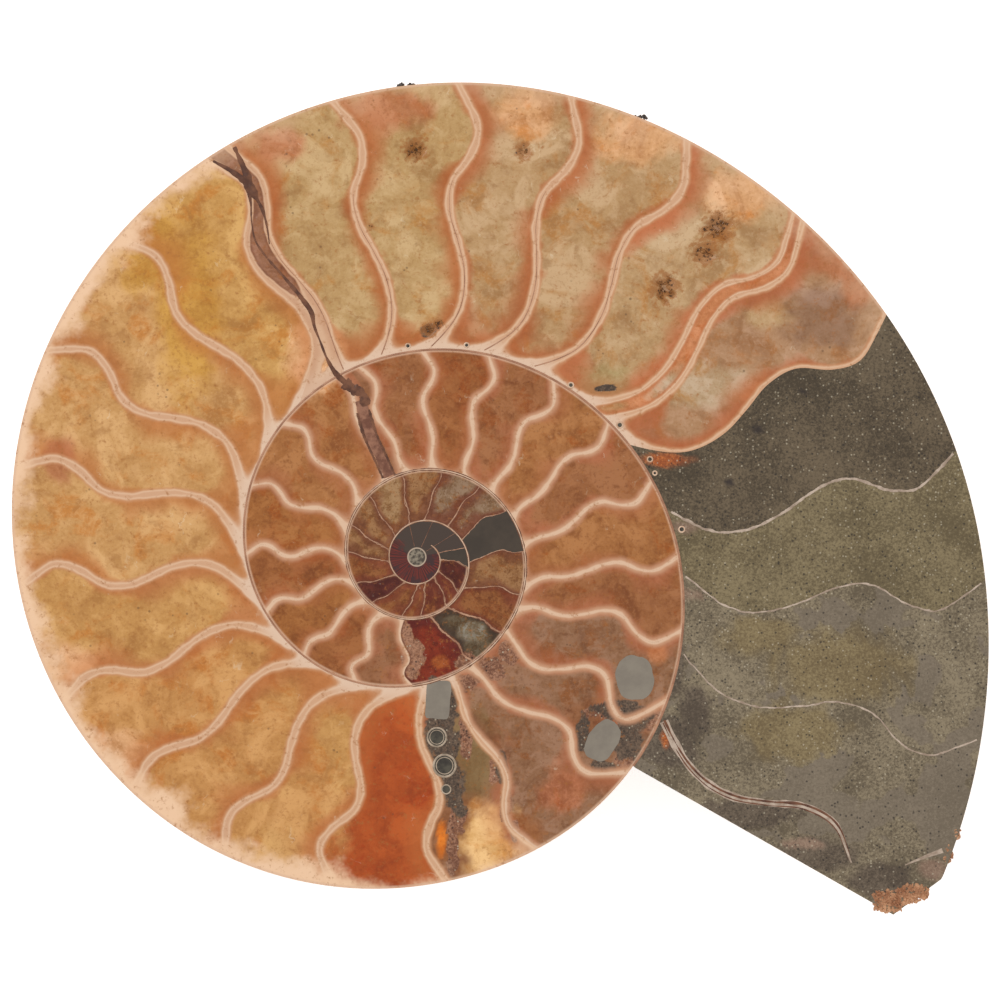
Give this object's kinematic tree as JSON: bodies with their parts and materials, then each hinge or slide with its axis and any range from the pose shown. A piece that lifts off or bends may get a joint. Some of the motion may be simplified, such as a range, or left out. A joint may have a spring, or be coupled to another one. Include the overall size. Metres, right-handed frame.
{
  "type": "ammonite fossil",
  "caption": "Half of a fossil ammonite, sawn down the middle and polished: flat chambered spiral face on top, domed natural shell side below.",
  "frame": {"origin": "under the middle of the stone's box, at its lowest point, on the surface that it rests on", "axes": "+Z out of the polished face, +X along the longest extent, towards the body chamber"},
  "size_m": [0.1198, 0.1022, 0.0163],
  "materials": {
    "polished_fossil": "polished"
  },
  "bodies": {
    "root": {"ammonite_half": "polished_fossil"}
  },
  "joints": []
}
